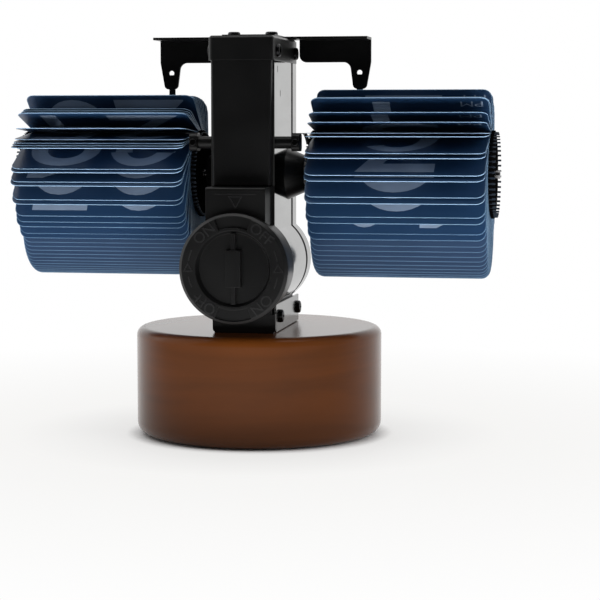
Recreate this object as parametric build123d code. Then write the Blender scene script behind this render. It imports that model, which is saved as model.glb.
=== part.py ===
from build123d import *
from collections import namedtuple
import math
import os

# A desk flip clock: a keyhole-shaped metal column on a turned wooden base, with a
# drum of hanging cards on each side. X runs along the drums (hours at -X), the
# clock's face looks along -Y, and the battery door is at +Y. Millimetres and degrees.

# Wooden base and its pad
BASE_DIAMETER = 100.0
BASE_TOP_Z = 44.0
BASE_TOP_ROUND = 3.5
BASE_FOOT_ROUND = 5.0
PAD_DIAMETER = 88.0
PAD_THICK = 1.2
PAD_PROUD = 0.4
BASE_SCREW_Y = (-13.0, 23.0)
BASE_SCREW_R = 2.0
BASE_SCREW_HEAD_R = 4.0
BASE_SCREW_HEAD_H = 3.0
BASE_SCREW_SINK = 12.0
BASE_SCREW_GRIP = 5.0

# Column: half width, front and back, and the metal sheet round it
COLUMN_HALF_W = 12.6
COLUMN_FRONT_Y = -15.0
COLUMN_BACK_Y = 32.0
COLUMN_TOP_Z = 150.6
SHEET = 0.7
SHEET_GAP = 0.1
SEAM_Y = -5.4
SEAM_GAP = 3.6
SHEET_SLOT_W = 0.9
SHEET_SLOT_LENGTH = 2.6
SHEET_SLOTS = ((25.5, 147.4), (20.0, 138.0))
CHASSIS_WALL = 1.5
NECK_INSET = 0.6
REAR_COVER_THICK = 3.4
REAR_COVER_ROUND = 1.2
REAR_COVER_INSET = 0.5
REAR_COVER_TAPER = 0.6
REAR_COVER_RIM = 2.0

# Foot block and its side straps
FOOT_FRONT_Y = -21.0
FOOT_BACK_Y = 31.0
FOOT_HEIGHT = 7.6
FOOT_LIP = 2.2
FOOT_ROUND = 1.8
STRAP_THICK = 0.8
STRAP_END_GAP = 0.6
STRAP_TOP_GAP = 1.6
FOOT_SCREW_Y = (-17.2, 21.2)
FOOT_SCREW_UP = 6.1
FOOT_SCREW_R = 1.0
FOOT_SCREW_HEAD_R = 2.6
FOOT_SCREW_HEAD_H = 1.5
FOOT_SCREW_DEPTH = 4.0

# Top cap
CAP_HEIGHT = 9.5
CAP_OVERHANG = 0.4
CAP_ROUND = 2.0
CAP_TOP_BEVEL = 0.8
CAP_SPIGOT = 4.0
CAP_SCREW_Y = (-10.0, 28.5)
CAP_SCREW_UP = 3.9
CAP_SCREW_R = 1.0
CAP_SCREW_HEAD_R = 2.5
CAP_SCREW_HEAD_H = 1.3
CAP_SCREW_DEPTH = 4.0

# Battery: a D cell lying front to back, its collar and its turning door
CELL_R = 16.9
CELL_LENGTH = 60.5
CELL_BUTTON_R = 4.6
CELL_BUTTON_H = 1.5
CELL_CLEARANCE = 0.4
BULGE_WALL = 0.7
BATTERY_Z = 70.8
NOSE_WALL = 0.9
NOSE_ROUND = 1.5
CONTACT_R = 5.2
CONTACT_THICK = 0.3
DOOR_CONTACT_R = 6.5
DOOR_CONTACT_REACH = 1.8
COLLAR_R = 20.2
COLLAR_LENGTH = 14.6
LUG_HALF_W = 11.7
LUG_TOP_Z = 101.8
LUG_GAP = 0.5
LUG_ROUND = 1.2
DOOR_R = 21.3
DOOR_THICK = 4.7
DOOR_GAP = 0.2
DOOR_BEVEL = 1.2
DISH_R = 13.7
DISH_SLOPE = 1.0
DISH_DEPTH = 2.4
SKIRT_WALL = 1.7
SPIGOT_DEPTH = 1.4
SPIGOT_CLEARANCE = 0.25
BAYONET_ARC = 24.0
BAYONET_ANGLES = (0.0, 180.0)
ENTRY_ANGLES = (90.0, 270.0)
BAYONET_REACH = 1.2
BAYONET_THICK = 0.8
BAYONET_CLEARANCE = 0.25
BAYONET_ENTRY = 1.2
GRIP_HALF_W = 2.95
GRIP_HALF_H = 7.1
GRIP_DROP = 0.3
GRIP_RIB_HALF_W = 0.9
GRIP_RIB_DROP = 0.9
NOTCH_ARC = 42.0
NOTCH_ANGLES = (90.0, 270.0)
NOTCH_INNER_R = 15.8
NOTCH_OUTER_R = 20.2
NOTCH_DEPTH = 1.1

# Drums: axis, spindle, card wheels and cards
AXIS_Y = 2.0
AXIS_Z = 106.0
SPINDLE_R = 1.65
SPINDLE_END_X = 98.0
SPINDLE_INNER_X = 0.4
RUNNING = 0.05
THROUGH = 9.0
CARD_INNER_X = 24.2
CARD_OUTER_X = 94.4
CARD_LENGTH = 24.8
CARD_THICK = 0.22
CARD_CORNER = 2.4
CARD_GAP = 0.3
EAR_HALF_H = 0.4
EAR_INNER_REACH = 2.2
EAR_OUTER_REACH = 2.8
PIVOT_R = 16.7
SLOT_W = 1.0
WHEEL_TIP_R = 17.5
SLOT_FLOOR_R = 16.1
WHEEL_THICK = 1.2
WHEEL_HUB_R = 5.0
WHEEL_HUB_LENGTH = 2.0
CORE_R = 4.2
MINUTE_CARD_COUNT = 60
HOUR_CARD_COUNT = 48
MINUTE_STANDING_COUNT = 5
HOUR_STANDING_COUNT = 2
FRONT_CARD_ANGLE = 169.0
FRONT_CARD_LEAN = 3.5
STANDING_LEAN = 2.6
MINUTE_FAN_LEAN = 11.6
HOUR_FAN_LEAN = 14.0
FAN_PAIRING = 0.38
FALLEN_LEAN = 7.6

# Bearing bosses on the column's sides
BOSS_BASE_R = 10.4
BOSS_TIP_R = 7.2
BOSS_LENGTH = 7.4
BOSS_NECK_R = 4.2
BUSH_R = 2.9
BUSH_LENGTH = 8.0

# Stop bridge over the drums
BRIDGE_THICK = 1.0
BRIDGE_HALF_L = 44.1
BRIDGE_FRONT_Y = -13.3
BRIDGE_DEPTH = 13.0
BRIDGE_TAB_HALF_W = 10.6
BRIDGE_TAB_BACK_Y = 21.0
FLANGE_INNER_X = 14.5
FLANGE_HEIGHT = 10.0
ARM_HEIGHT = 20.8
ARM_INNER_TOP_INSET = 8.7
ARM_INNER_INSET = 7.3
ARM_OUTER_INSET = 1.9
ARM_TIP_ROUND = 1.8
ARM_FILLET = 3.0
ARM_HOLE_INSET = 4.7
ARM_HOLE_R = 1.1
ARM_HOLE_DROP = 14.2
RIVET_DROP = 18.0
RIVET_R = 0.9
RIVET_HEAD_R = 1.4
RIVET_HEAD_H = 0.5
FINGER_W = 2.6
FINGER_THICK = 0.4
FINGER_TOP_DROP = 14.9
FINGER_CLEARANCE = 0.3
BRIDGE_SCREW_X = 7.6
BRIDGE_SCREW_Y = 12.0
BRIDGE_SCREW_R = 1.2
BRIDGE_SCREW_HEAD_R = 2.5
BRIDGE_SCREW_HEAD_H = 1.4
BRIDGE_SCREW_DEPTH = 5.0

# Cross bar with a click spring for each drum
BAR_Y = 27.0
BAR_Z = 118.8
BAR_R = 2.4
CLAMP_INNER_X = 18.8
CLAMP_OUTER_X = 21.9
CLAMP_HALF_H = 3.4
CLAMP_HALF_D = 3.4
CLAMP_ROUND = 1.8
CLAMP_SCREW_HEAD_R = 1.5
CLAMP_SCREW_HEAD_H = 0.8
CLICK_THICK = 0.3
CLICK_INNER_X = 22.2
CLICK_OUTER_X = 23.7
CLICK_FLAT = 1.6
CLICK_ANGLE = 42.0
CLICK_CLEARANCE = 0.35

# Movement inside the column
PLATE_HALF_X = 1.5
BAY_FLOOR_Z = 93.0
BAY_TOP_GAP = 2.4
GEAR_MODULE = 0.5
DRIVE_TEETH = 28
PINION_TEETH = 10
GEAR_X = 3.2
GEAR_W = 3.0
GEAR_BACKLASH = 0.16
MOTOR_R = 7.3
MOTOR_LENGTH = 8.6
MOTOR_SHAFT_R = 0.75

# Derived places
bore_r = CELL_R + CELL_CLEARANCE
tube_r = bore_r + BULGE_WALL
bulge_r = tube_r + SHEET_GAP + SHEET
inner_half_w = COLUMN_HALF_W - SHEET
chassis_half_w = inner_half_w - SHEET_GAP
shell_bottom_z = BATTERY_Z - math.sqrt(bulge_r ** 2 - COLUMN_HALF_W ** 2)
collar_back_y = COLUMN_BACK_Y + COLLAR_LENGTH
door_y = collar_back_y + DOOR_GAP
door_face_y = door_y + DOOR_THICK
cell_back_y = door_y - DOOR_CONTACT_REACH
cell_front_y = cell_back_y - CELL_LENGTH
contact_y = cell_front_y - CONTACT_THICK
nose_y = contact_y - NOSE_WALL
foot_top_z = BASE_TOP_Z + FOOT_HEIGHT
foot_half_w = COLUMN_HALF_W - STRAP_THICK
cap_top_z = COLUMN_TOP_Z + CAP_HEIGHT
cap_half_w = COLUMN_HALF_W + CAP_OVERHANG
wheel_inner_x = CARD_INNER_X - CARD_GAP - WHEEL_THICK
wheel_outer_x = CARD_OUTER_X + CARD_GAP
click_r = WHEEL_TIP_R + CLICK_CLEARANCE

parts = {}


def along_y(sketch, y0, y1):
    """Extrude a profile drawn in X and Z from y0 to y1."""
    plane = Plane(origin=(0, y1, 0), x_dir=(1, 0, 0), z_dir=(0, -1, 0))
    return extrude(plane * sketch, amount=y1 - y0)


def along_x(sketch, x0, x1):
    """Extrude a profile drawn in Y and Z from x0 to x1."""
    plane = Plane(origin=(x0, 0, 0), x_dir=(0, 1, 0), z_dir=(1, 0, 0))
    return extrude(plane * sketch, amount=x1 - x0)


def rod_x(r, x0, x1, y, z):
    return along_x(Pos(y, z) * Circle(r), x0, x1)


def rod_y(r, y0, y1, x, z):
    return along_y(Pos(x, z) * Circle(r), y0, y1)


def rod_z(r, z0, z1, x, y):
    return Pos(x, y, z0) * extrude(Circle(r), amount=z1 - z0)


def block(x0, x1, y0, y1, z0, z1):
    centre = Pos((x0 + x1) / 2, (y0 + y1) / 2, (z0 + z1) / 2)
    return centre * Box(x1 - x0, y1 - y0, z1 - z0)


def panel(x0, x1, z0, z1):
    """Rectangle in a profile, from its corners."""
    return Pos((x0 + x1) / 2, (z0 + z1) / 2) * Rectangle(x1 - x0, z1 - z0)


def mirrored(solid):
    return mirror(solid, about=Plane.YZ)


def keyhole(half_w, r, top_z):
    return panel(-half_w, half_w, BATTERY_Z, top_z) + Pos(0, BATTERY_Z) * Circle(r)


# Base

def make_base():
    radius = BASE_DIAMETER / 2
    body = Pos(0, 0, PAD_PROUD) * extrude(Circle(radius), amount=BASE_TOP_Z - PAD_PROUD)
    rims = body.edges().filter_by(GeomType.CIRCLE).sort_by(Axis.Z)
    body = fillet(rims[-1], BASE_TOP_ROUND)
    rims = body.edges().filter_by(GeomType.CIRCLE).sort_by(Axis.Z)
    body = fillet(rims[0], BASE_FOOT_ROUND)
    body -= rod_z(PAD_DIAMETER / 2 + RUNNING, 0, PAD_THICK, 0, 0)
    for y in BASE_SCREW_Y:
        body -= rod_z(BASE_SCREW_R + RUNNING, 0, BASE_TOP_Z + 1, 0, y)
        body -= rod_z(BASE_SCREW_HEAD_R + 0.3, 0, BASE_SCREW_SINK, 0, y)
    return body


def make_base_screws():
    screws = []
    for y in BASE_SCREW_Y:
        shank = rod_z(BASE_SCREW_R, BASE_SCREW_SINK, BASE_TOP_Z + BASE_SCREW_GRIP, 0, y)
        head = rod_z(BASE_SCREW_HEAD_R, BASE_SCREW_SINK - BASE_SCREW_HEAD_H, BASE_SCREW_SINK, 0, y)
        screws.append(shank + head)
    return Compound(screws)


parts["wood_base"] = make_base()
parts["base_pad"] = rod_z(PAD_DIAMETER / 2, 0, PAD_THICK, 0, 0)
parts["base_screws"] = make_base_screws()


# Foot, straps and their screws

strap_top_z = shell_bottom_z - STRAP_TOP_GAP
strap_front_y = FOOT_FRONT_Y + STRAP_END_GAP
strap_back_y = FOOT_BACK_Y - FOOT_LIP
foot_screw_z = BASE_TOP_Z + FOOT_SCREW_UP


def foot_screw_holes(r):
    x = COLUMN_HALF_W
    holes = [rod_x(r, x - FOOT_SCREW_DEPTH, x + 1, y, foot_screw_z) for y in FOOT_SCREW_Y]
    return holes + [mirrored(hole) for hole in holes]


def make_foot():
    body = block(-foot_half_w, foot_half_w, FOOT_FRONT_Y, FOOT_BACK_Y, BASE_TOP_Z, foot_top_z)
    lip = block(-COLUMN_HALF_W, COLUMN_HALF_W, strap_back_y, FOOT_BACK_Y, BASE_TOP_Z, foot_top_z)
    corners = lip.edges().filter_by(Axis.Y).group_by(Axis.Z)[0]
    body += fillet(corners, FOOT_ROUND)
    for y in BASE_SCREW_Y:
        body -= rod_z(BASE_SCREW_R, BASE_TOP_Z - 1, BASE_TOP_Z + BASE_SCREW_GRIP, 0, y)
    for hole in foot_screw_holes(FOOT_SCREW_R):
        body -= hole
    return body


def make_straps():
    strap = block(foot_half_w, COLUMN_HALF_W, strap_front_y, strap_back_y, BASE_TOP_Z + 0.4, strap_top_z)
    for hole in foot_screw_holes(FOOT_SCREW_R):
        strap -= hole
    return Compound([strap, mirrored(strap)])


def make_foot_screws():
    screws = []
    x = COLUMN_HALF_W
    for y in FOOT_SCREW_Y:
        shank = rod_x(FOOT_SCREW_R, x - FOOT_SCREW_DEPTH, x, y, foot_screw_z)
        head = rod_x(FOOT_SCREW_HEAD_R, x, x + FOOT_SCREW_HEAD_H, y, foot_screw_z)
        head = chamfer(head.edges().sort_by(Axis.X)[-1], FOOT_SCREW_HEAD_H * 0.5)
        screws += [shank + head, mirrored(shank + head)]
    return Compound(screws)


parts["column_foot"] = make_foot()
parts["foot_straps"] = make_straps()
parts["foot_screws"] = make_foot_screws()


# Column: chassis, side sheets, front shell, rear cover

chassis_front_y = COLUMN_FRONT_Y + SHEET
seam_front_y = SEAM_Y - SEAM_GAP / 2
seam_back_y = SEAM_Y + SEAM_GAP / 2
bay_half_w = chassis_half_w - CHASSIS_WALL
bay_top_z = COLUMN_TOP_Z - BAY_TOP_GAP


def through_side(r):
    """Round hole through both sides of the column on the drum axis."""
    return rod_x(r, -COLUMN_HALF_W - 1, COLUMN_HALF_W + 1, AXIS_Y, AXIS_Z)


def bar_hole():
    return rod_x(BAR_R, -COLUMN_HALF_W - 1, COLUMN_HALF_W + 1, BAR_Y, BAR_Z)


def make_chassis():
    profile = keyhole(chassis_half_w, tube_r, COLUMN_TOP_Z)
    neck_half_w = chassis_half_w - NECK_INSET
    profile += panel(-neck_half_w, neck_half_w, foot_top_z, BATTERY_Z)
    body = along_y(profile, chassis_front_y, COLUMN_BACK_Y)
    bay = panel(-bay_half_w, bay_half_w, BAY_FLOOR_Z, bay_top_z)
    body -= along_y(bay, chassis_front_y + CHASSIS_WALL, COLUMN_BACK_Y + 1)
    body -= rod_y(bore_r, chassis_front_y - 1, COLUMN_BACK_Y + 1, 0, BATTERY_Z)
    body -= through_side(BOSS_NECK_R)
    body -= bar_hole()
    spigot = block(-bay_half_w, bay_half_w, COLUMN_FRONT_Y + CAP_SPIGOT, COLUMN_BACK_Y - CAP_SPIGOT,
                   bay_top_z - 1, COLUMN_TOP_Z + 1)
    return body - spigot


def make_side_sheet():
    outer = keyhole(COLUMN_HALF_W, bulge_r, COLUMN_TOP_Z)
    inner = keyhole(inner_half_w, bulge_r - SHEET, COLUMN_TOP_Z + 1)
    half = panel(0, 2 * bulge_r, shell_bottom_z, COLUMN_TOP_Z)
    sheet = along_y((outer - inner) & half, seam_back_y, COLUMN_BACK_Y)
    for y, z in SHEET_SLOTS:
        slot = Pos(y, z) * SlotOverall(SHEET_SLOT_LENGTH, SHEET_SLOT_W, rotation=90)
        sheet -= along_x(slot, inner_half_w - 1, COLUMN_HALF_W + 1)
    return sheet - through_side(BOSS_NECK_R) - bar_hole()


def make_front_shell():
    profile = keyhole(COLUMN_HALF_W, bulge_r, COLUMN_TOP_Z)
    above_foot = panel(-2 * bulge_r, 2 * bulge_r, shell_bottom_z, COLUMN_TOP_Z)
    body = along_y(profile & above_foot, COLUMN_FRONT_Y, seam_front_y)
    hollow = keyhole(inner_half_w, bulge_r - SHEET, COLUMN_TOP_Z + 1)
    body -= along_y(hollow, COLUMN_FRONT_Y + SHEET, seam_front_y + 1)
    nose = rod_y(bulge_r, nose_y, COLUMN_FRONT_Y + SHEET, 0, BATTERY_Z)
    nose = fillet(nose.edges().group_by(Axis.Y)[0], NOSE_ROUND)
    body += nose
    return body - rod_y(bore_r, contact_y, seam_front_y, 0, BATTERY_Z)


def make_rear_cover():
    top_half_w = COLUMN_HALF_W - REAR_COVER_INSET
    low_half_w = top_half_w - REAR_COVER_TAPER
    low_z = LUG_TOP_Z + LUG_GAP
    back_y = COLUMN_BACK_Y + REAR_COVER_THICK
    outline = Polyline((-low_half_w, low_z), (low_half_w, low_z), (top_half_w, COLUMN_TOP_Z),
                       (-top_half_w, COLUMN_TOP_Z), close=True)
    body = along_y(make_face(outline), COLUMN_BACK_Y, back_y)
    uprights = body.edges().filter_by(lambda edge: abs(edge.tangent_at(0.5).Z) > 0.9)
    body = fillet(uprights.group_by(Axis.Y)[-1], REAR_COVER_ROUND)
    rim = block(-bay_half_w + RUNNING, bay_half_w - RUNNING, COLUMN_BACK_Y - REAR_COVER_RIM, COLUMN_BACK_Y,
                low_z + 2, bay_top_z - 2)
    hollow = block(-bay_half_w + 2, bay_half_w - 2, COLUMN_BACK_Y - REAR_COVER_RIM, back_y - 1.6,
                   low_z + 4, bay_top_z - 4)
    return body + rim - hollow


side_sheet = make_side_sheet()
parts["chassis"] = make_chassis()
parts["minute_side_sheet"] = side_sheet
parts["hour_side_sheet"] = mirrored(side_sheet)
parts["front_shell"] = make_front_shell()
parts["rear_cover"] = make_rear_cover()


# Top cap and its side screws

cap_screw_z = COLUMN_TOP_Z + CAP_SCREW_UP
bridge_screw_points = [(-BRIDGE_SCREW_X, BRIDGE_SCREW_Y), (BRIDGE_SCREW_X, BRIDGE_SCREW_Y)]


def make_cap():
    front = COLUMN_FRONT_Y - CAP_OVERHANG
    back = COLUMN_BACK_Y + REAR_COVER_THICK + CAP_OVERHANG
    body = block(-cap_half_w, cap_half_w, front, back, COLUMN_TOP_Z, cap_top_z)
    body = fillet(body.edges().filter_by(Axis.Z), CAP_ROUND)
    body = chamfer(body.edges().group_by(Axis.Z)[-1], CAP_TOP_BEVEL)
    body += block(-bay_half_w + RUNNING, bay_half_w - RUNNING, COLUMN_FRONT_Y + CAP_SPIGOT + RUNNING,
                  COLUMN_BACK_Y - CAP_SPIGOT - RUNNING, bay_top_z, COLUMN_TOP_Z)
    for y in CAP_SCREW_Y:
        hole = rod_x(CAP_SCREW_R, cap_half_w - CAP_SCREW_DEPTH, cap_half_w + 1, y, cap_screw_z)
        body -= hole
        body -= mirrored(hole)
    for x, y in bridge_screw_points:
        body -= rod_z(BRIDGE_SCREW_R, cap_top_z - BRIDGE_SCREW_DEPTH, cap_top_z + 1, x, y)
    return body


def make_cap_screws():
    screws = []
    for y in CAP_SCREW_Y:
        shank = rod_x(CAP_SCREW_R, cap_half_w - CAP_SCREW_DEPTH, cap_half_w, y, cap_screw_z)
        head = rod_x(CAP_SCREW_HEAD_R, cap_half_w, cap_half_w + CAP_SCREW_HEAD_H, y, cap_screw_z)
        head = chamfer(head.edges().sort_by(Axis.X)[-1], CAP_SCREW_HEAD_H * 0.5)
        screws += [shank + head, mirrored(shank + head)]
    return Compound(screws)


parts["top_cap"] = make_cap()
parts["cap_screws"] = make_cap_screws()


# Battery collar, cell, contacts and door

bayonet_back_y = door_y - 0.6
bayonet_front_y = bayonet_back_y - BAYONET_THICK
spigot_r = bore_r - SPIGOT_CLEARANCE
bayonet_r = spigot_r + BAYONET_REACH


def sector(r, middle, arc):
    """Wedge of a disc about the battery axis, from its centre out to r."""
    half = math.radians(arc / 2)
    mid = math.radians(middle)
    ends = [(r * math.cos(mid + side * half), r * math.sin(mid + side * half)) for side in (-1, 1)]
    rim = ThreePointArc(ends[0], (r * math.cos(mid), r * math.sin(mid)), ends[1])
    return Pos(0, BATTERY_Z) * make_face([Line((0, 0), ends[0]), rim, Line(ends[1], (0, 0))])


def make_collar():
    body = rod_y(COLLAR_R, COLUMN_BACK_Y, collar_back_y, 0, BATTERY_Z)
    lug = block(-LUG_HALF_W, LUG_HALF_W, COLUMN_BACK_Y, collar_back_y, BATTERY_Z + COLLAR_R * 0.7, LUG_TOP_Z)
    body += fillet(lug.edges().filter_by(Axis.X).group_by(Axis.Y)[-1].sort_by(Axis.Z)[-1], LUG_ROUND)
    body -= rod_y(bore_r, COLUMN_BACK_Y - 1, collar_back_y + 1, 0, BATTERY_Z)
    groove_r = bayonet_r + BAYONET_CLEARANCE
    body -= rod_y(groove_r, bayonet_front_y - BAYONET_CLEARANCE, bayonet_back_y + BAYONET_CLEARANCE,
                  0, BATTERY_Z)
    for middle in ENTRY_ANGLES:
        entry = sector(groove_r, middle, BAYONET_ARC * BAYONET_ENTRY)
        body -= along_y(entry, bayonet_front_y, collar_back_y + 1)
    return body


def make_door():
    """Turned disc with a dished face, two finger notches, a grip bar and bayonet lugs behind."""
    dish_y = door_face_y - DISH_DEPTH
    outline = [
        (0, door_y),
        (DOOR_R, door_y),
        (DOOR_R, door_face_y - DOOR_BEVEL),
        (DOOR_R - DOOR_BEVEL, door_face_y),
        (DISH_R + DISH_SLOPE, door_face_y),
        (DISH_R, dish_y),
        (0, dish_y),
    ]
    profile = Pos(0, 0, BATTERY_Z) * make_face(Polyline(*outline, close=True))
    body = revolve(profile, Axis((0, 0, BATTERY_Z), (0, 1, 0)), 360)
    inner_r = spigot_r - SKIRT_WALL
    skirt = rod_y(spigot_r, door_y - SPIGOT_DEPTH, door_y, 0, BATTERY_Z)
    body += skirt - rod_y(inner_r, door_y - SPIGOT_DEPTH, door_y, 0, BATTERY_Z)
    for middle in BAYONET_ANGLES:
        wedge = sector(bayonet_r, middle, BAYONET_ARC) - Pos(0, BATTERY_Z) * Circle(inner_r)
        body += along_y(wedge, bayonet_front_y, bayonet_back_y)
    grip = panel(-GRIP_HALF_W, GRIP_HALF_W, BATTERY_Z - GRIP_HALF_H, BATTERY_Z + GRIP_HALF_H)
    body += along_y(grip, dish_y, door_face_y - GRIP_DROP)
    rib = panel(-GRIP_RIB_HALF_W, GRIP_RIB_HALF_W, BATTERY_Z - DISH_R, BATTERY_Z + DISH_R)
    body += along_y(rib, dish_y, door_face_y - GRIP_RIB_DROP)
    for middle in NOTCH_ANGLES:
        notch = sector(NOTCH_OUTER_R, middle, NOTCH_ARC) - Pos(0, BATTERY_Z) * Circle(NOTCH_INNER_R)
        body -= along_y(notch, door_face_y - NOTCH_DEPTH, door_face_y + 1)
    return body


def make_cell():
    shoulder_y = cell_front_y + CELL_BUTTON_H
    body = rod_y(CELL_R, shoulder_y, cell_back_y, 0, BATTERY_Z)
    return body + rod_y(CELL_BUTTON_R, cell_front_y, shoulder_y, 0, BATTERY_Z)


parts["battery_collar"] = make_collar()
parts["battery_door"] = make_door()
parts["door_contact"] = rod_y(DOOR_CONTACT_R, cell_back_y + RUNNING, door_y, 0, BATTERY_Z)
parts["battery_cell"] = make_cell()
parts["front_contact"] = rod_y(CONTACT_R, contact_y, cell_front_y, 0, BATTERY_Z)


# Stop bridge, its fingers, rivets and screws

flange_top_z = cap_top_z + BRIDGE_THICK
arm_bottom_z = flange_top_z - ARM_HEIGHT
arm_inner_x = BRIDGE_HALF_L - ARM_INNER_INSET
arm_hole_x = BRIDGE_HALF_L - ARM_HOLE_INSET
rivet_z = flange_top_z - RIVET_DROP
finger_front_y = BRIDGE_FRONT_Y - FINGER_THICK


def front_card_tip_z():
    """Highest reach of the standing front card as it swings on its ears."""
    return AXIS_Z + PIVOT_R * math.sin(math.radians(FRONT_CARD_ANGLE)) + CARD_LENGTH


def make_flange():
    web_z = flange_top_z - FLANGE_HEIGHT
    outline = [
        (FLANGE_INNER_X, flange_top_z),
        (BRIDGE_HALF_L, flange_top_z),
        (BRIDGE_HALF_L, web_z),
        (BRIDGE_HALF_L - ARM_OUTER_INSET, arm_bottom_z),
        (arm_inner_x, arm_bottom_z),
        (BRIDGE_HALF_L - ARM_INNER_TOP_INSET, web_z),
        (FLANGE_INNER_X, web_z),
    ]
    face = make_face(Polyline(*outline, close=True))
    corners = face.vertices()
    tips = [v for v in corners if v.Y < arm_bottom_z + 0.1]
    bends = [v for v in corners if abs(v.Y - web_z) < 0.1 and v.X < arm_inner_x]
    face = fillet(tips, ARM_TIP_ROUND)
    face = fillet([v for v in face.vertices() if any(abs(v.X - b.X) + abs(v.Y - b.Y) < 0.1 for b in bends)],
                  ARM_FILLET)
    face -= Pos(arm_hole_x, flange_top_z - ARM_HOLE_DROP) * Circle(ARM_HOLE_R)
    face -= Pos(arm_hole_x, rivet_z) * Circle(RIVET_R)
    return along_y(face, BRIDGE_FRONT_Y, BRIDGE_FRONT_Y + BRIDGE_THICK)


def make_bridge():
    plate = block(-BRIDGE_HALF_L, BRIDGE_HALF_L, BRIDGE_FRONT_Y, BRIDGE_FRONT_Y + BRIDGE_DEPTH,
                  cap_top_z, flange_top_z)
    plate += block(-BRIDGE_TAB_HALF_W, BRIDGE_TAB_HALF_W, BRIDGE_FRONT_Y, BRIDGE_TAB_BACK_Y,
                   cap_top_z, flange_top_z)
    flange = make_flange()
    plate = plate + flange + mirrored(flange)
    for x, y in bridge_screw_points:
        plate -= rod_z(BRIDGE_SCREW_R, cap_top_z - 1, flange_top_z + 1, x, y)
    return plate


def make_finger():
    x0 = arm_hole_x - FINGER_W / 2
    bottom_z = front_card_tip_z() + FINGER_CLEARANCE
    strip = block(x0, x0 + FINGER_W, finger_front_y, BRIDGE_FRONT_Y, bottom_z, flange_top_z - FINGER_TOP_DROP)
    return strip - rod_y(RIVET_R, finger_front_y - 1, BRIDGE_FRONT_Y + 1, arm_hole_x, rivet_z)


def make_rivets():
    back_y = BRIDGE_FRONT_Y + BRIDGE_THICK
    rivet = rod_y(RIVET_R, finger_front_y, back_y, arm_hole_x, rivet_z)
    rivet += rod_y(RIVET_HEAD_R, finger_front_y - RIVET_HEAD_H, finger_front_y, arm_hole_x, rivet_z)
    rivet += rod_y(RIVET_HEAD_R, back_y, back_y + RIVET_HEAD_H, arm_hole_x, rivet_z)
    return Compound([rivet, mirrored(rivet)])


def make_bridge_screws():
    screws = []
    for x, y in bridge_screw_points:
        shank = rod_z(BRIDGE_SCREW_R, cap_top_z - BRIDGE_SCREW_DEPTH, flange_top_z, x, y)
        head = rod_z(BRIDGE_SCREW_HEAD_R, flange_top_z, flange_top_z + BRIDGE_SCREW_HEAD_H, x, y)
        head = chamfer(head.edges().sort_by(Axis.Z)[-1], BRIDGE_SCREW_HEAD_H * 0.5)
        screws.append(shank + head)
    return Compound(screws)


finger = make_finger()
parts["stop_bridge"] = make_bridge()
parts["minute_stop_finger"] = finger
parts["hour_stop_finger"] = mirrored(finger)
parts["finger_rivets"] = make_rivets()
parts["bridge_screws"] = make_bridge_screws()


# Cross bar, clamps and click springs

def make_clamp():
    profile = RectangleRounded(2 * CLAMP_HALF_D, 2 * CLAMP_HALF_H, CLAMP_ROUND) - Circle(BAR_R)
    return along_x(Pos(BAR_Y, BAR_Z) * profile, CLAMP_INNER_X, CLAMP_OUTER_X)


def make_click_spring():
    """Flat spring from the clamp's top, bending down to a wheel's rim."""
    angle = math.radians(CLICK_ANGLE)
    tip = (AXIS_Y + click_r * math.cos(angle), AXIS_Z + click_r * math.sin(angle))
    top_z = BAR_Z + CLAMP_HALF_H
    flat = Line((BAR_Y + CLICK_FLAT, top_z), (BAR_Y - CLICK_FLAT, top_z))
    bend = TangentArc(flat @ 1, tip, tangent=flat % 1)
    strip = make_face(offset(Wire([flat, bend]), amount=CLICK_THICK, side=Side.RIGHT, closed=True).edges())
    blade = along_x(strip, CLICK_INNER_X, CLICK_OUTER_X)
    tab = block(CLAMP_INNER_X, CLICK_INNER_X, BAR_Y - CLICK_FLAT, BAR_Y + CLICK_FLAT, top_z, top_z + CLICK_THICK)
    return blade + tab


def make_clamp_screw():
    x = (CLAMP_INNER_X + CLAMP_OUTER_X) / 2
    back_y = BAR_Y + CLAMP_HALF_D
    return rod_y(CLAMP_SCREW_HEAD_R, back_y, back_y + CLAMP_SCREW_HEAD_H, x, BAR_Z)


click_spring = make_click_spring()
clamp = make_clamp()
clamp_screw = make_clamp_screw()
parts["cross_bar"] = rod_x(BAR_R, -CLAMP_OUTER_X, CLAMP_OUTER_X, BAR_Y, BAR_Z)
parts["bar_clamps"] = Compound([clamp, mirrored(clamp)])
parts["clamp_screws"] = Compound([clamp_screw, mirrored(clamp_screw)])
parts["minute_click_spring"] = click_spring
parts["hour_click_spring"] = mirrored(click_spring)


# Bearings on the column's sides

def make_boss():
    x1 = COLUMN_HALF_W + BOSS_LENGTH
    plane = Plane(origin=(COLUMN_HALF_W, AXIS_Y, AXIS_Z), x_dir=(0, 1, 0), z_dir=(1, 0, 0))
    body = plane * Pos(0, 0, BOSS_LENGTH / 2) * Cone(BOSS_BASE_R, BOSS_TIP_R, BOSS_LENGTH)
    body += rod_x(BOSS_NECK_R, bay_half_w, COLUMN_HALF_W, AXIS_Y, AXIS_Z)
    body -= rod_x(SPINDLE_R + RUNNING, bay_half_w - 1, x1 + 1, AXIS_Y, AXIS_Z)
    return body - rod_x(BUSH_R, x1 - BUSH_LENGTH, x1 + 1, AXIS_Y, AXIS_Z)


def make_bush():
    x1 = COLUMN_HALF_W + BOSS_LENGTH
    bush = rod_x(BUSH_R, x1 - BUSH_LENGTH, x1, AXIS_Y, AXIS_Z)
    return bush - rod_x(SPINDLE_R + RUNNING, x1 - BUSH_LENGTH - 1, x1 + 1, AXIS_Y, AXIS_Z)


boss = make_boss()
bush = make_bush()
parts["minute_bearing_boss"] = boss
parts["hour_bearing_boss"] = mirrored(boss)
parts["minute_bush"] = bush
parts["hour_bush"] = mirrored(bush)


# Drums: slotted card wheels, spindles, spacer tubes and cards

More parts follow.
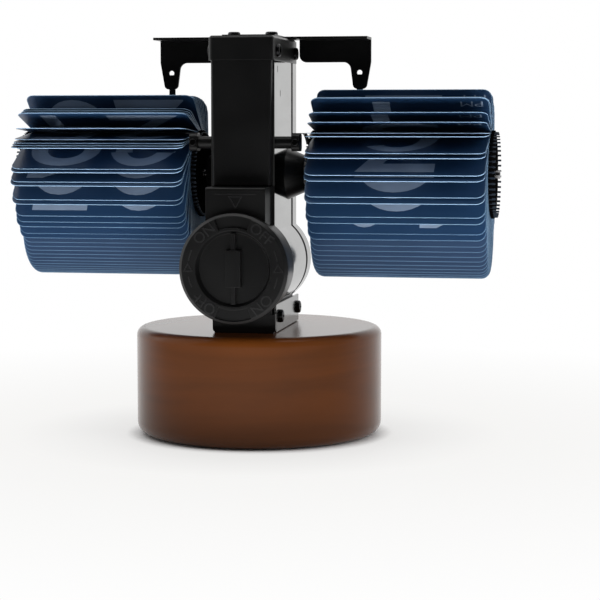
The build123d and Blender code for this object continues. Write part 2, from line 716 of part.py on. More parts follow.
def make_wheel(count, x0, hub_side):
    """Disc with one rim slot for each card's ear, and a hub on one side."""
    pitch = 360 / count
    half_slot = math.degrees(SLOT_W / 2 / PIVOT_R)
    points = []
    for k in range(count):
        middle = FRONT_CARD_ANGLE + k * pitch
        for r, turn in ((WHEEL_TIP_R, -half_slot), (SLOT_FLOOR_R, -half_slot),
                        (SLOT_FLOOR_R, half_slot), (WHEEL_TIP_R, half_slot)):
            angle = math.radians(middle + turn)
            points.append((AXIS_Y + r * math.cos(angle), AXIS_Z + r * math.sin(angle)))
    wheel = along_x(make_face(Polyline(*points, close=True)), x0, x0 + WHEEL_THICK)
    start = x0 + WHEEL_THICK if hub_side > 0 else x0 - WHEEL_HUB_LENGTH
    wheel += rod_x(WHEEL_HUB_R, start, start + WHEEL_HUB_LENGTH, AXIS_Y, AXIS_Z)
    return wheel - rod_x(SPINDLE_R, x0 - THROUGH, x0 + THROUGH, AXIS_Y, AXIS_Z)


Fan = namedtuple("Fan", "count standing lean")
minute_fan = Fan(MINUTE_CARD_COUNT, MINUTE_STANDING_COUNT, MINUTE_FAN_LEAN)
hour_fan = Fan(HOUR_CARD_COUNT, HOUR_STANDING_COUNT, HOUR_FAN_LEAN)


def card_place(k, fan):
    """Pivot angle up from the back, and swing from hanging, of the k-th card behind the front one."""
    pitch = 360 / fan.count
    angle = FRONT_CARD_ANGLE - k * pitch
    if k < fan.standing:
        return angle, 180 - FRONT_CARD_LEAN - k * STANDING_LEAN
    if angle > -90:
        pairing = FAN_PAIRING * pitch * (1 if k % 2 else -1)
        return angle, max(0.0, angle + fan.lean + pairing)
    return angle, -max(0.0, -180 - angle + FALLEN_LEAN)


def card_blank():
    """A card hanging from the origin: a clipped leaf with an ear at each top corner."""
    low = -CARD_LENGTH
    outline = [
        (CARD_INNER_X - EAR_INNER_REACH, EAR_HALF_H),
        (CARD_INNER_X - EAR_INNER_REACH, -EAR_HALF_H),
        (CARD_INNER_X, -EAR_HALF_H),
        (CARD_INNER_X, low + CARD_CORNER),
        (CARD_INNER_X + CARD_CORNER, low),
        (CARD_OUTER_X - CARD_CORNER, low),
        (CARD_OUTER_X, low + CARD_CORNER),
        (CARD_OUTER_X, -EAR_HALF_H),
        (CARD_OUTER_X + EAR_OUTER_REACH, -EAR_HALF_H),
        (CARD_OUTER_X + EAR_OUTER_REACH, EAR_HALF_H),
    ]
    face = make_face(Polyline(*outline, close=True))
    return along_y(face, -CARD_THICK / 2, CARD_THICK / 2)


def placed_card(k, fan):
    angle, swing = card_place(k, fan)
    y = AXIS_Y + PIVOT_R * math.cos(math.radians(angle))
    z = AXIS_Z + PIVOT_R * math.sin(math.radians(angle))
    return Pos(0, y, z) * Rot(swing, 0, 0) * card_blank()


def add_drum(name, fan, finish):
    """Put one drum's pieces in the list, turned to its own side by finish."""
    parts[name + "_spindle"] = finish(rod_x(SPINDLE_R, SPINDLE_INNER_X, SPINDLE_END_X, AXIS_Y, AXIS_Z))
    parts[name + "_inner_wheel"] = finish(make_wheel(fan.count, wheel_inner_x, 1))
    parts[name + "_outer_wheel"] = finish(make_wheel(fan.count, wheel_outer_x, -1))
    core_x0 = wheel_inner_x + WHEEL_THICK + WHEEL_HUB_LENGTH
    core = rod_x(CORE_R, core_x0, wheel_outer_x - WHEEL_HUB_LENGTH, AXIS_Y, AXIS_Z)
    parts[name + "_spacer_tube"] = finish(core - rod_x(SPINDLE_R, core_x0 - 1, wheel_outer_x, AXIS_Y, AXIS_Z))
    parts[name + "_falling_card"] = finish(placed_card(0, fan))
    parts[name + "_cards"] = Compound([finish(placed_card(k, fan)) for k in range(1, fan.count)])


add_drum("minute", minute_fan, lambda solid: solid)
add_drum("hour", hour_fan, mirrored)


# Movement: bearing plate, motor and two gears that turn the minute spindle

drive_r = GEAR_MODULE * DRIVE_TEETH / 2
pinion_r = GEAR_MODULE * PINION_TEETH / 2
motor_y = AXIS_Y + drive_r + pinion_r


def make_gear(teeth, y, z, start_turn):
    """Spur gear with tapered teeth, thinned by the backlash."""
    pitch_r = GEAR_MODULE * teeth / 2
    half = math.pi * GEAR_MODULE / 4 - GEAR_BACKLASH / 2
    sections = ((pitch_r - 1.2 * GEAR_MODULE, 1.5), (pitch_r, 1.0), (pitch_r + 0.8 * GEAR_MODULE, 0.5))
    points = []
    for k in range(teeth):
        middle = math.radians(start_turn) + k * 2 * math.pi / teeth
        flank = [(r, -share * half / pitch_r) for r, share in sections]
        flank += [(r, share * half / pitch_r) for r, share in reversed(sections)]
        points += [(y + r * math.cos(middle + turn), z + r * math.sin(middle + turn)) for r, turn in flank]
    return along_x(make_face(Polyline(*points, close=True)), GEAR_X, GEAR_X + GEAR_W)


def make_bearing_plate():
    rim = panel(COLUMN_FRONT_Y + SHEET + CHASSIS_WALL + RUNNING, COLUMN_BACK_Y - REAR_COVER_RIM - 1,
                BAY_FLOOR_Z, bay_top_z - 2)
    plate = along_x(rim, -PLATE_HALF_X, PLATE_HALF_X)
    plate -= rod_x(SPINDLE_R + RUNNING, -THROUGH, THROUGH, AXIS_Y, AXIS_Z)
    plate -= rod_x(MOTOR_SHAFT_R + RUNNING, -THROUGH, THROUGH, motor_y, AXIS_Z)
    return plate - rod_x(BAR_R, -THROUGH, THROUGH, BAR_Y, BAR_Z)


drive_gear = make_gear(DRIVE_TEETH, AXIS_Y, AXIS_Z, 0)
pinion = make_gear(PINION_TEETH, motor_y, AXIS_Z, 180 + 180 / PINION_TEETH)
motor_end_x = -PLATE_HALF_X - MOTOR_LENGTH
parts["bearing_plate"] = make_bearing_plate()
parts["drive_gear"] = drive_gear - rod_x(SPINDLE_R, 0, THROUGH, AXIS_Y, AXIS_Z)
parts["motor_can"] = (rod_x(MOTOR_R, motor_end_x, -PLATE_HALF_X, motor_y, AXIS_Z)
                      - rod_x(MOTOR_SHAFT_R + RUNNING, -4, 0, motor_y, AXIS_Z))
parts["motor_pinion"] = pinion + rod_x(MOTOR_SHAFT_R, -4, GEAR_X, motor_y, AXIS_Z)

os.makedirs("parts", exist_ok=True)
for name, solid in parts.items():
    export_step(solid, os.path.join("parts", name + ".step"))
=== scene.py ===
import math

import bpy
from mathutils import Matrix, Vector


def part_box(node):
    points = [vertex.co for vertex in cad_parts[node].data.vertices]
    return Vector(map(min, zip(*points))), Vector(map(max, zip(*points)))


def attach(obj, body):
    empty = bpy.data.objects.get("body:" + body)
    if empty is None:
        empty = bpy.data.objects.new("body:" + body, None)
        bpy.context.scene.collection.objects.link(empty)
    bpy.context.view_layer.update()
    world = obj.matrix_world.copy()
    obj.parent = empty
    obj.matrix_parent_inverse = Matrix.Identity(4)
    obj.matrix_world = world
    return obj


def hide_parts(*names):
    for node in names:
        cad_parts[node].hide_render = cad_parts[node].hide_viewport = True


bl_info = {
    "name": "Desk Flip Clock",
    "version": (1, 0, 0),
    "blender": (4, 5, 0),
    "location": "3D View > Sidebar > Flip Clock",
    "description": "Cards, numerals, screws, finishes and studio for a desk flip clock",
    "category": "Object",
}

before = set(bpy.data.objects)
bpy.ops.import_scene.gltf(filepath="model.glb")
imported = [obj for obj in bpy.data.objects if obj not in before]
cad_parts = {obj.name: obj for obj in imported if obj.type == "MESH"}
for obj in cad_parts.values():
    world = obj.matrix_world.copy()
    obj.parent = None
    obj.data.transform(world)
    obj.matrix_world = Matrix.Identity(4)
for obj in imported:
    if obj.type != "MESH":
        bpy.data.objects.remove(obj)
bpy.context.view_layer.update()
drum_axis = sum(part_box("minute_spindle"), Vector()) / 2
door_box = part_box("battery_door")
lug_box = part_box("battery_collar")

MM = 0.001
# Noise is read between these two levels
NOISE_LOW, NOISE_HIGH = 0.3, 0.7
# A face looks up where its normal's Z is over this
LOOKS_UP = 0.9
NODE_SMOOTH = math.radians(35)
SCREW_SMOOTH = math.radians(40)


def length(name, description, default):
    """A size that a user may change, in metres."""
    return bpy.props.FloatProperty(name=name, description=description, default=default,
                                   subtype="DISTANCE", unit="LENGTH", precision=5)


def turn(name, description, degrees):
    """An angle that a user may change."""
    return bpy.props.FloatProperty(name=name, description=description, default=math.radians(degrees),
                                   subtype="ANGLE", unit="ROTATION")


def amount(name, description, default):
    """A plain number that a user may change."""
    return bpy.props.FloatProperty(name=name, description=description, default=default)


def number(name, description, default):
    """A whole number that a user may change."""
    return bpy.props.IntProperty(name=name, description=description, default=default)


def colour(name, description, default):
    """A linear colour that a user may change."""
    return bpy.props.FloatVectorProperty(name=name, description=description, default=default,
                                         subtype="COLOR", size=3, min=0.0, max=1.0)


class ClockSizes(bpy.types.PropertyGroup):
    """Sizes of the cards, their fan and what is printed on them"""

    axis_y: length("Drum axis back", "Place of the drums' axis, front to back", drum_axis.y)
    axis_z: length("Drum axis height", "Height of the drums' axis", drum_axis.z)
    pivot_radius: length("Ear radius", "From the drum's axis to the cards' ears", 16.7 * MM)
    card_inner: length("Card inner end", "From the clock's middle to the cards' inner end", 24.2 * MM)
    card_outer: length("Card outer end", "From the clock's middle to the cards' outer end", 94.4 * MM)
    card_length: length("Card length", "From the ears to the free edge", 24.8 * MM)
    card_thick: length("Card thickness", "Thickness of a card", 0.22 * MM)
    card_corner: length("Card corner", "Rounding of a card's free corners", 3.4 * MM)
    ear_half: length("Ear half height", "Half the height of an ear", 0.4 * MM)
    ear_bevel: length("Ear bevel", "Bevel along an ear's edges", 0.06 * MM)
    ear_inner: length("Inner ear reach", "How far an ear passes the card's inner end", 2.2 * MM)
    ear_outer: length("Outer ear reach", "How far an ear passes the card's outer end", 2.8 * MM)
    front_angle: turn("Front card angle", "Place of the standing front card round the drum", 169.0)
    front_lean: turn("Front card lean", "How far the front card leans back", 3.5)
    standing_lean: turn("Standing lean", "How much more each standing card leans than the last", 2.6)
    minute_lean: turn("Minute fan lean", "How far the minute cards at the back stand off the rim", 11.6)
    hour_lean: turn("Hour fan lean", "How far the hour cards at the back stand off the rim", 14.0)
    fallen_lean: turn("Fallen lean", "How far the fallen cards stand off the rim", 7.6)
    fan_pairing: amount("Pairing", "How closely neighbours lie in pairs", 0.38)
    minute_standing: number("Standing minutes", "Minute cards that stand", 5)
    hour_standing: number("Standing hours", "Hour cards that stand", 2)
    # The pale band along a card's free edges is a painted highlight, and this is its width
    card_border: length("Card border", "Width of the pale band along a card's free edges", 0.26 * MM)
    numeral_height: length("Numeral height", "Height of a printed numeral over both halves", 44.4 * MM)
    numeral_width: length("Numeral width", "Width of a printed minute numeral", 29.0 * MM)
    hour_width: length("Hour width", "Width of an hour's numeral that stands alone", 30.8 * MM)
    hour_pair_width: length("Hour pair width", "Width of each of an hour's two numerals", 23.0 * MM)
    hour_spread: length("Hour spread", "From a card's middle to an hour's two numerals", 12.5 * MM)
    numeral_spread: length("Numeral spread", "From a card's middle to a minute's two numerals", 16.0 * MM)
    numeral_weight: amount("Numeral weight", "Thickening of the numerals", 0.002)
    one_shift: length("One shift", "How far a minute's one stands to the right in its place", 9.5 * MM)
    numeral_gap: length("Numeral gap", "Bare strip along the split line", 0.5 * MM)
    print_lift: length("Print lift", "How far the print lies off a card's face", 0.02 * MM)
    mark_height: length("Half-day mark height", "Height of the small letters beside the hour", 3.4 * MM)
    mark_stretch: amount("Half-day mark stretch", "How much wider the small letters are drawn", 1.5)
    mark_weight: amount("Half-day mark weight", "Thickening of the small letters", -0.008)
    mark_inset: length("Half-day mark inset", "From a card's outer end to the small letters", 6.8 * MM)
    mark_rise: length("Half-day mark rise", "From a card's free edge to the small letters", 4.2 * MM)
    minute_shown: number("Minute", "Minute that the clock shows", 10)
    hour_shown: number("Hour", "Hour that the clock shows, of 24", 11)


class ClockColours(bpy.types.PropertyGroup):
    """Colours of the clock's finishes"""

    wood: colour("Wood", "Stained wood under its lacquer", (0.080, 0.0225, 0.0036))
    wood_dark: colour("Wood grain", "Darker lines of the grain", (0.035, 0.0105, 0.002))
    black: colour("Black plastic", "Moulded black plastic", (0.0026, 0.0026, 0.0027))
    metal: colour("Sheet metal", "Polished sheet round the column", (0.53, 0.53, 0.525))
    card: colour("Card", "Face of a card", (0.0125, 0.037, 0.090))
    # Colour of the painted highlight: a band along a card's free edges, paler than the card
    card_border: colour("Card border", "Pale band along a card's free edges", (0.075, 0.15, 0.25))
    # The cut edge's own colour, made pale as a painted highlight along the cards' edges
    card_edge: colour("Card edge", "Cut edge of a card", (0.32, 0.50, 0.72))
    numeral: colour("Numeral", "Printed numerals", (0.22, 0.29, 0.40))
    ear: colour("Ear", "Ears of the cards", (0.020, 0.028, 0.040))
    steel: colour("Steel", "Spindles and springs", (0.52, 0.52, 0.53))
    brass: colour("Brass", "Bushes and contacts", (0.60, 0.43, 0.16))
    gear: colour("Gear", "Moulded gears", (0.55, 0.54, 0.50))
    cell: colour("Cell", "Sleeve of the battery cell", (0.05, 0.05, 0.06))


def sizes():
    return bpy.context.scene.flip_sizes


def colours():
    return bpy.context.scene.flip_colours


# Selecting and editing

def only(obj):
    """Select one object alone and make it active."""
    if bpy.context.mode != "OBJECT":
        bpy.ops.object.mode_set(mode="OBJECT")
    bpy.ops.object.select_all(action="DESELECT")
    obj.select_set(True)
    bpy.context.view_layer.objects.active = obj
    return obj


def edit_where(obj, test=None, mode="VERT"):
    """Enter edit mode with the vertices or faces that pass the test selected, or all of them."""
    only(obj)
    mesh = obj.data
    bpy.ops.object.mode_set(mode="EDIT")
    bpy.ops.mesh.select_mode(type=mode)
    bpy.ops.mesh.select_all(action="SELECT" if test is None else "DESELECT")
    bpy.ops.object.mode_set(mode="OBJECT")
    if test is not None:
        items = mesh.vertices if mode == "VERT" else mesh.polygons
        for item in items:
            item.select = bool(test(item))
    bpy.ops.object.mode_set(mode="EDIT")


def leave_edit():
    bpy.ops.object.mode_set(mode="OBJECT")


def settle(obj):
    """Put an object's place, turn and scale into its mesh."""
    only(obj)
    bpy.ops.object.transform_apply(location=True, rotation=True, scale=True)
    return obj


def apply_modifier(obj, kind, **settings):
    """Add a modifier with its settings and apply it."""
    only(obj)
    modifier = obj.modifiers.new(kind.title(), kind)
    for key, value in settings.items():
        setattr(modifier, key, value)
    bpy.ops.object.modifier_apply(modifier=modifier.name)
    return obj


def copy_of(obj, matrix):
    """A copy with its own mesh, set in place in the mesh."""
    twin = obj.copy()
    twin.data = obj.data.copy()
    twin.data.transform(matrix)
    bpy.context.scene.collection.objects.link(twin)
    return twin


def moved(obj, matrix):
    """The object itself, set in place in its mesh."""
    obj.data.transform(matrix)
    return obj


def joined(objs, name):
    """One object of that name from several."""
    bpy.ops.object.select_all(action="DESELECT")
    for obj in objs:
        obj.select_set(True)
    bpy.context.view_layer.objects.active = objs[0]
    if len(objs) > 1:
        bpy.ops.object.join()
    whole = bpy.context.view_layer.objects.active
    whole.name = name
    whole.data.name = name
    return whole


def discard(*objs):
    for obj in objs:
        bpy.data.objects.remove(obj)


def face_outwards(obj):
    """Turn all of an object's faces outwards."""
    edit_where(obj)
    bpy.ops.mesh.normals_make_consistent(inside=False)
    leave_edit()
    return obj


def placed_block(low, high):
    """A cube primitive between two corners."""
    low, high = Vector(low), Vector(high)
    bpy.ops.object.select_all(action="DESELECT")
    bpy.ops.mesh.primitive_cube_add(size=1, location=(low + high) / 2)
    block = bpy.context.object
    block.scale = high - low
    return settle(block)


# Finishes

def new_finish(name, base, roughness, metallic=0.0):
    """A material with its shader set, and the nodes to add detail to it."""
    material = bpy.data.materials.new(name)
    material.use_nodes = True
    tree = material.node_tree
    shader = tree.nodes["Principled BSDF"]
    shader.inputs["Base Color"].default_value = (*base, 1.0)
    shader.inputs["Roughness"].default_value = roughness
    shader.inputs["Metallic"].default_value = metallic
    return material, tree, shader


def object_noise(tree, scale, detail=4.0, stretch=(1, 1, 1), distortion=0.0):
    """Noise on Object coordinates, scaled along each axis by the stretch."""
    place = tree.nodes.new("ShaderNodeTexCoord")
    mapping = tree.nodes.new("ShaderNodeMapping")
    mapping.inputs["Scale"].default_value = stretch
    noise = tree.nodes.new("ShaderNodeTexNoise")
    noise.inputs["Scale"].default_value = scale
    noise.inputs["Detail"].default_value = detail
    noise.inputs["Distortion"].default_value = distortion
    tree.links.new(place.outputs["Object"], mapping.inputs["Vector"])
    tree.links.new(mapping.outputs["Vector"], noise.inputs["Vector"])
    return noise.outputs["Fac"]


def ramp(tree, source, *stops):
    """A colour ramp over the given (position, colour) stops."""
    node = tree.nodes.new("ShaderNodeValToRGB")
    node.color_ramp.elements[0].position = stops[0][0]
    node.color_ramp.elements[0].color = (*stops[0][1], 1.0)
    node.color_ramp.elements[1].position = stops[-1][0]
    node.color_ramp.elements[1].color = (*stops[-1][1], 1.0)
    for position, tint in stops[1:-1]:
        element = node.color_ramp.elements.new(position)
        element.color = (*tint, 1.0)
    tree.links.new(source, node.inputs["Fac"])
    return node.outputs["Color"]


def spread(tree, source, low, high):
    """Noise brought to a range of plain values."""
    node = tree.nodes.new("ShaderNodeMapRange")
    node.inputs["From Min"].default_value = NOISE_LOW
    node.inputs["From Max"].default_value = NOISE_HIGH
    node.inputs["To Min"].default_value = low
    node.inputs["To Max"].default_value = high
    tree.links.new(source, node.inputs["Value"])
    return node.outputs["Result"]


def bump(tree, shader, source, strength, distance, edge=0.0):
    """Fine relief, with the light caught along edges that are a little round."""
    node = tree.nodes.new("ShaderNodeBump")
    node.inputs["Strength"].default_value = strength
    node.inputs["Distance"].default_value = distance
    tree.links.new(source, node.inputs["Height"])
    tree.links.new(node.outputs["Normal"], shader.inputs["Normal"])
    if edge:
        soft = tree.nodes.new("ShaderNodeBevel")
        soft.samples = 6
        soft.inputs["Radius"].default_value = edge
        tree.links.new(soft.outputs["Normal"], node.inputs["Normal"])


def shade(base, factor):
    """A colour made darker or lighter."""
    return tuple(min(1.0, channel * factor) for channel in base)


def mottled(tree, noise, base, low, high):
    """A colour that noise takes from a darker to a lighter shade of itself."""
    return ramp(tree, noise, (NOISE_LOW, shade(base, low)), (NOISE_HIGH, shade(base, high)))


def lacquered_wood():
    c = colours()
    material, tree, shader = new_finish("lacquered_wood", c.wood, 0.36)
    grain = object_noise(tree, 22.0, detail=6.0, stretch=(0.35, 0.35, 3.2), distortion=0.6)
    broad = object_noise(tree, 14.0, detail=2.0, stretch=(1.0, 1.0, 1.6), distortion=0.3)
    pores = object_noise(tree, 160.0, detail=3.0, stretch=(0.3, 0.3, 2.0))
    grain_tint = ramp(tree, grain, (0.36, c.wood_dark), (0.52, c.wood), (0.72, shade(c.wood, 1.25)))
    broad_tint = mottled(tree, broad, c.wood, 0.85, 1.25)
    mix = tree.nodes.new("ShaderNodeMix")
    mix.data_type = "RGBA"
    mix.inputs["Factor"].default_value = 0.6
    tree.links.new(grain_tint, mix.inputs["A"])
    tree.links.new(broad_tint, mix.inputs["B"])
    tree.links.new(mix.outputs["Result"], shader.inputs["Base Color"])
    tree.links.new(spread(tree, grain, 0.33, 0.42), shader.inputs["Roughness"])
    bump(tree, shader, pores, strength=0.04, distance=0.4 * MM)
    shader.inputs["Specular IOR Level"].default_value = 0.06
    shader.inputs["Coat Weight"].default_value = 1.0
    shader.inputs["Coat IOR"].default_value = 1.2
    shader.inputs["Coat Roughness"].default_value = 0.2
    return material


def moulded_plastic(name, base, roughness, grain=900.0, strength=0.06, gloss=0.5, edge=0.0):
    material, tree, shader = new_finish(name, base, roughness)
    shader.inputs["Specular IOR Level"].default_value = gloss
    mottle = object_noise(tree, 60.0, detail=3.0)
    skin = object_noise(tree, grain, detail=2.0)
    tree.links.new(mottled(tree, mottle, base, 0.88, 1.12), shader.inputs["Base Color"])
    tree.links.new(spread(tree, mottle, roughness - 0.04, roughness + 0.05), shader.inputs["Roughness"])
    bump(tree, shader, skin, strength, distance=0.2 * MM, edge=edge)
    return material


def bright_metal(name, base, roughness, stretch=(1.0, 1.0, 1.0)):
    material, tree, shader = new_finish(name, base, roughness, 1.0)
    shader.inputs["Specular Tint"].default_value = (0.72, 0.72, 0.72, 1.0)
    rub = object_noise(tree, 240.0, detail=3.0, stretch=stretch)
    tree.links.new(mottled(tree, rub, base, 0.93, 1.05), shader.inputs["Base Color"])
    tree.links.new(spread(tree, rub, roughness - 0.02, roughness + 0.03), shader.inputs["Roughness"])
    bump(tree, shader, rub, strength=0.015, distance=0.1 * MM)
    return material


def card_leaf():
    c = colours()
    material, tree, shader = new_finish("card_leaf", c.card, 0.34)
    mottle = object_noise(tree, 35.0, detail=3.0, stretch=(0.4, 1.0, 1.0))
    skin = object_noise(tree, 700.0, detail=2.0)
    tree.links.new(mottled(tree, mottle, c.card, 0.85, 1.18), shader.inputs["Base Color"])
    tree.links.new(spread(tree, mottle, 0.30, 0.40), shader.inputs["Roughness"])
    bump(tree, shader, skin, strength=0.05, distance=0.2 * MM)
    return material


# Finishes that have been made, by name
finish_of = {}


def finish(name):
    """The named finish, made the first time that it is asked for."""
    if name not in finish_of:
        c = colours()
        makers = {
            "wood": lacquered_wood,
            "black": lambda: moulded_plastic("black_plastic", c.black, 0.34, gloss=0.4, edge=0.35 * MM),
            "black_sheet": lambda: moulded_plastic("black_sheet", c.black, 0.33, grain=1400.0,
                                                   strength=0.03, gloss=0.35, edge=0.25 * MM),
            "black_screw": lambda: bright_metal("black_screw", shade(c.black, 16.0), 0.26),
            # The raised marks are the same black plastic, drawn three times lighter as a painted
            # highlight
            "raised_mark_painted_highlight": lambda: moulded_plastic("raised_mark_painted_highlight", shade(c.black, 3.0), 0.30,
                                                   edge=0.1 * MM),
            "pad": lambda: moulded_plastic("foam_pad", shade(c.black, 1.6), 0.85, grain=500.0,
                                           strength=0.3),
            "metal": lambda: bright_metal("polished_sheet", c.metal, 0.09, stretch=(0.2, 0.2, 1.0)),
            "strap": lambda: bright_metal("strap_sheet", shade(c.metal, 0.66), 0.16),
            "steel": lambda: bright_metal("bright_steel", c.steel, 0.22),
            "brass": lambda: bright_metal("brass", c.brass, 0.25),
            "card": card_leaf,
            # Finish of the painted highlight band along a card's free edges
            "card_border": lambda: moulded_plastic("card_border", c.card_border, 0.40),
            # Cut edge of the cards: its own colour, made pale as a painted highlight
            "card_edge": lambda: moulded_plastic("card_edge", c.card_edge, 0.45),
            "numeral": lambda: moulded_plastic("numeral_print", c.numeral, 0.42, grain=600.0,
                                               strength=0.03),
            "ear": lambda: moulded_plastic("card_ear", c.ear, 0.45, gloss=0.25),
            "wheel": lambda: moulded_plastic("wheel_plastic", c.black, 0.6, gloss=0.0),
            "gear": lambda: moulded_plastic("gear_plastic", c.gear, 0.40),
            "cell": lambda: moulded_plastic("cell_sleeve", c.cell, 0.30),
        }
        finish_of[name] = makers[name]()
    return finish_of[name]


def paint(obj, *names):
    """Give an object its finishes, in the order of its slots."""
    obj.data.materials.clear()
    for name in names:
        obj.data.materials.append(finish(name))
    return obj


NODE_FINISH = {
    "wood_base": "wood", "base_pad": "pad", "base_screws": "steel", "column_foot": "black",
    "foot_straps": "strap", "chassis": "black",
    "minute_side_sheet": "metal", "hour_side_sheet": "metal", "front_shell": "metal",
    "rear_cover": "black", "top_cap": "black", "battery_collar": "black", "battery_door": "black",
    "door_contact": "brass", "front_contact": "brass", "battery_cell": "cell",
    "stop_bridge": "black_sheet", "finger_rivets": "black_screw",
    "minute_stop_finger": "black_screw", "hour_stop_finger": "black_screw",
    "cross_bar": "black_sheet", "bar_clamps": "black",
    "minute_click_spring": "steel", "hour_click_spring": "steel",
    "minute_bearing_boss": "black", "hour_bearing_boss": "black",
    "minute_bush": "brass", "hour_bush": "brass",
    "minute_spindle": "steel", "hour_spindle": "steel",
    "minute_spacer_tube": "wheel", "hour_spacer_tube": "wheel",
    "minute_inner_wheel": "wheel", "minute_outer_wheel": "wheel",
    "hour_inner_wheel": "wheel", "hour_outer_wheel": "wheel", "bearing_plate": "wheel",
    "drive_gear": "gear", "motor_pinion": "gear", "motor_can": "steel",
}


class FLIPCLOCK_OT_finishes(bpy.types.Operator):
    """Give every node of the clock that keeps its own mesh its finish"""

    bl_idname = "flipclock.finishes"
    bl_label = "Finishes"

    def execute(self, context):
        for node, name in NODE_FINISH.items():
            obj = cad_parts[node]
            paint(obj, name)
            only(obj)
            bpy.ops.object.shade_smooth_by_angle(angle=NODE_SMOOTH)
        return {"FINISHED"}


# Cards

# How many cards each drum has, and its side of the clock along X
DRUMS = {"minute": (60, 1), "hour": (48, -1)}
# Degrees by which cards near the top have slipped against their neighbours
SLIPPED = {
    "minute": {2: -4.3, 3: -10.2, 4: -14.6, 5: -7.7, 6: -2.3, 7: -4.5, 8: 3.3, 9: 2.5, 10: -3.8,
               11: -5.6, 12: 2.6, 13: 3.0, 14: -0.5, 15: -8.9, 16: -0.7, 17: -0.1, 18: 10.0, 19: -6.5,
               20: 3.3, 21: -2.1, 22: 8.0, 23: -3.7, 24: 6.1, 25: -6.1},
    "hour": {6: -6.0, 7: -6.0, 8: 6.0, 9: 5.5, 10: 3.3, 11: -4.0},
}


def card_matrix(drum, k):
    """Place and swing of a drum's k-th card behind the standing front one."""
    s = sizes()
    pitch = 2 * math.pi / DRUMS[drum][0]
    angle = s.front_angle - k * pitch
    if drum == "minute":
        lean, standing = s.minute_lean, s.minute_standing
    else:
        lean, standing = s.hour_lean, s.hour_standing
    slip = math.radians(SLIPPED[drum].get(k, 0.0))
    if k < standing:
        swing = math.pi - s.front_lean - k * s.standing_lean + slip
    elif angle > -math.pi / 2:
        pairing = s.fan_pairing * pitch * (1 if k % 2 else -1)
        swing = max(0.0, angle + lean + pairing) + slip
    else:
        swing = -max(0.0, -math.pi - angle + s.fallen_lean)
    ears = (0, s.axis_y + s.pivot_radius * math.cos(angle), s.axis_z + s.pivot_radius * math.sin(angle))
    return Matrix.Translation(ears) @ Matrix.Rotation(swing, 4, "X")


def card_blank():
    """One card hanging from the origin: a leaf with rounded free corners and two ears."""
    s = sizes()
    middle = (s.card_inner + s.card_outer) / 2
    low, high = -s.card_length, s.ear_half
    bpy.ops.object.select_all(action="DESELECT")
    bpy.ops.mesh.primitive_plane_add(size=1, location=(middle, 0, (low + high) / 2),
                                     rotation=(math.pi / 2, 0, 0))
    leaf = bpy.context.object
    leaf.scale = (s.card_outer - s.card_inner, high - low, 1)
    settle(leaf)
    edit_where(leaf, lambda vertex: vertex.co.z < low + MM)
    bpy.ops.mesh.bevel(offset=s.card_corner, segments=5, affect="VERTICES")
    bpy.ops.mesh.select_mode(type="FACE")
    bpy.ops.mesh.select_all(action="SELECT")
    # The inset makes the pale band along the free edges, which carries a painted highlight
    bpy.ops.mesh.inset(thickness=s.card_border, depth=0)
    leave_edit()
    # Slots: the card's face, the painted highlight band, then the cut edge
    paint(leaf, "card", "card_border", "card_edge")
    inside = max(leaf.data.polygons, key=lambda face: face.area)
    for face in leaf.data.polygons:
        face.material_index = int(face != inside and face.center.z < high - s.card_border)
    # The rim takes the third slot: the cut edge's own colour, made pale as a painted highlight
    apply_modifier(leaf, "SOLIDIFY", thickness=s.card_thick, offset=0.0, material_offset_rim=2)
    half = s.card_thick / 2
    ears = []
    for start, end in ((s.card_inner - s.ear_inner, s.card_inner),
                       (s.card_outer, s.card_outer + s.ear_outer)):
        ear = placed_block((start, -half, -s.ear_half), (end, half, s.ear_half))
        edit_where(ear)
        bpy.ops.mesh.bevel(offset=s.ear_bevel, segments=1, affect="EDGES")
        leave_edit()
        ears.append(paint(ear, "ear"))
    return joined([leaf] + ears, "card_blank")


class FLIPCLOCK_OT_cards(bpy.types.Operator):
    """Hang the cards of both drums in their slots"""

    bl_idname = "flipclock.cards"
    bl_label = "Cards"

    def execute(self, context):
        blank = card_blank()
        for drum, (count, side) in DRUMS.items():
            turned = Matrix.Scale(side, 4, (1, 0, 0))
            front = copy_of(blank, card_matrix(drum, 0) @ turned)
            front.name = drum + "_front_card"
            others = [copy_of(blank, card_matrix(drum, k) @ turned) for k in range(1, count)]
            fan = joined(others, drum + "_card_fan")
            for card, body, node in ((front, drum + "_card", drum + "_falling_card"),
                                     (fan, drum + "_drum", drum + "_cards")):
                face_outwards(card)
                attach(card, body)
                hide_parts(node)
        discard(blank)
        return {"FINISHED"}


# Printed numerals

# Where strokes are cut: shares of half a numeral's height for the end of the arch and the
# top of a six's bowl, a share of the width for the bowl's left, and the slant of the arch's end
ARCH_END, BOWL_TOP = 0.5, 0.13
BOWL_LEFT = -0.28
ARCH_SLANT = -0.3
# Reach of a one's flag in widths of its stem, and how far it slants down over that reach
FLAG_REACH, FLAG_SLANT = 1.2, 0.55
CURVE_STEPS = 8
LETTER_MERGE = 0.01 * MM
# The side of a cut that stays
UP, DOWN, LEFT, RIGHT = (0, 1), (0, -1), (-1, 0), (1, 0)


